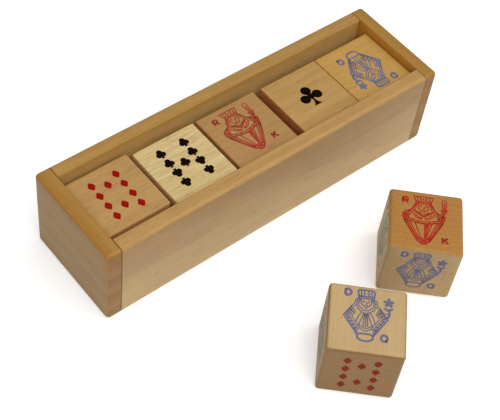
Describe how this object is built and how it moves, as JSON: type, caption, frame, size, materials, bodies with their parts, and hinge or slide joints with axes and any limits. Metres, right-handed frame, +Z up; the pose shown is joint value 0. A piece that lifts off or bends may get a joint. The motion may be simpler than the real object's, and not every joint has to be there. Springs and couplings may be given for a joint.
{
  "type": "wooden dice box",
  "caption": "Open wooden tray with lapped end panels and a raised rim, holding a row of card-face dice that lift out, with loose dice standing beside it.",
  "frame": {"origin": "the middle of the underside of the tray, on the surface that it stands on", "axes": "+X along the row of dice, +Y towards the back wall, +Z up out of the open top"},
  "size_m": [0.171, 0.1409, 0.0413],
  "materials": {
    "wall_wood": "sanded, clear satin varnish",
    "end_wood": "sanded, clear satin varnish",
    "floor_wood": "sanded, clear satin varnish",
    "dowel_wood": "turned, unfinished",
    "tan_die_wood": "sanded, clear satin varnish",
    "pale_die_wood": "sanded, clear satin varnish",
    "brown_die_wood": "sanded, clear satin varnish",
    "golden_die_wood": "sanded, clear satin varnish",
    "red_ink": "printed ink",
    "black_ink": "printed ink",
    "blue_ink": "printed ink",
    "green_ink": "printed ink"
  },
  "bodies": {
    "tray": {"floor_board": "floor_wood", "front_wall": "wall_wood", "back_wall": "wall_wood", "left_end_panel": "end_wood", "right_end_panel": "end_wood", "dowel_front_left_low": "dowel_wood", "dowel_front_left_high": "dowel_wood", "dowel_back_left_low": "dowel_wood", "dowel_back_left_high": "dowel_wood", "dowel_front_right_low": "dowel_wood", "dowel_front_right_high": "dowel_wood", "dowel_back_right_low": "dowel_wood", "dowel_back_right_high": "dowel_wood"},
    "die_1": {"die_1": "tan_die_wood"},
    "die_2": {"die_2": "pale_die_wood"},
    "die_3": {"die_3": "tan_die_wood"},
    "die_4": {"die_4": "brown_die_wood"},
    "die_5": {"die_5": "golden_die_wood"},
    "loose_die_1": {"loose_die_1": "brown_die_wood"},
    "loose_die_2": {"loose_die_2": "golden_die_wood"}
  },
  "joints": [
    {"name": "die_1_lift", "type": "slide", "parent": "tray", "child": "die_1", "axis": [0, 0, 1], "range_m": [0, 0.05]},
    {"name": "die_2_lift", "type": "slide", "parent": "tray", "child": "die_2", "axis": [0, 0, 1], "range_m": [0, 0.05]},
    {"name": "die_3_lift", "type": "slide", "parent": "tray", "child": "die_3", "axis": [0, 0, 1], "range_m": [0, 0.05]},
    {"name": "die_4_lift", "type": "slide", "parent": "tray", "child": "die_4", "axis": [0, 0, 1], "range_m": [0, 0.05]},
    {"name": "die_5_lift", "type": "slide", "parent": "tray", "child": "die_5", "axis": [0, 0, 1], "range_m": [0, 0.05]},
    {"name": "loose_die_1_lift", "type": "slide", "parent": "tray", "child": "loose_die_1", "axis": [0, 0, 1], "range_m": [0, 0.05]},
    {"name": "loose_die_2_lift", "type": "slide", "parent": "tray", "child": "loose_die_2", "axis": [0, 0, 1], "range_m": [0, 0.05]}
  ]
}
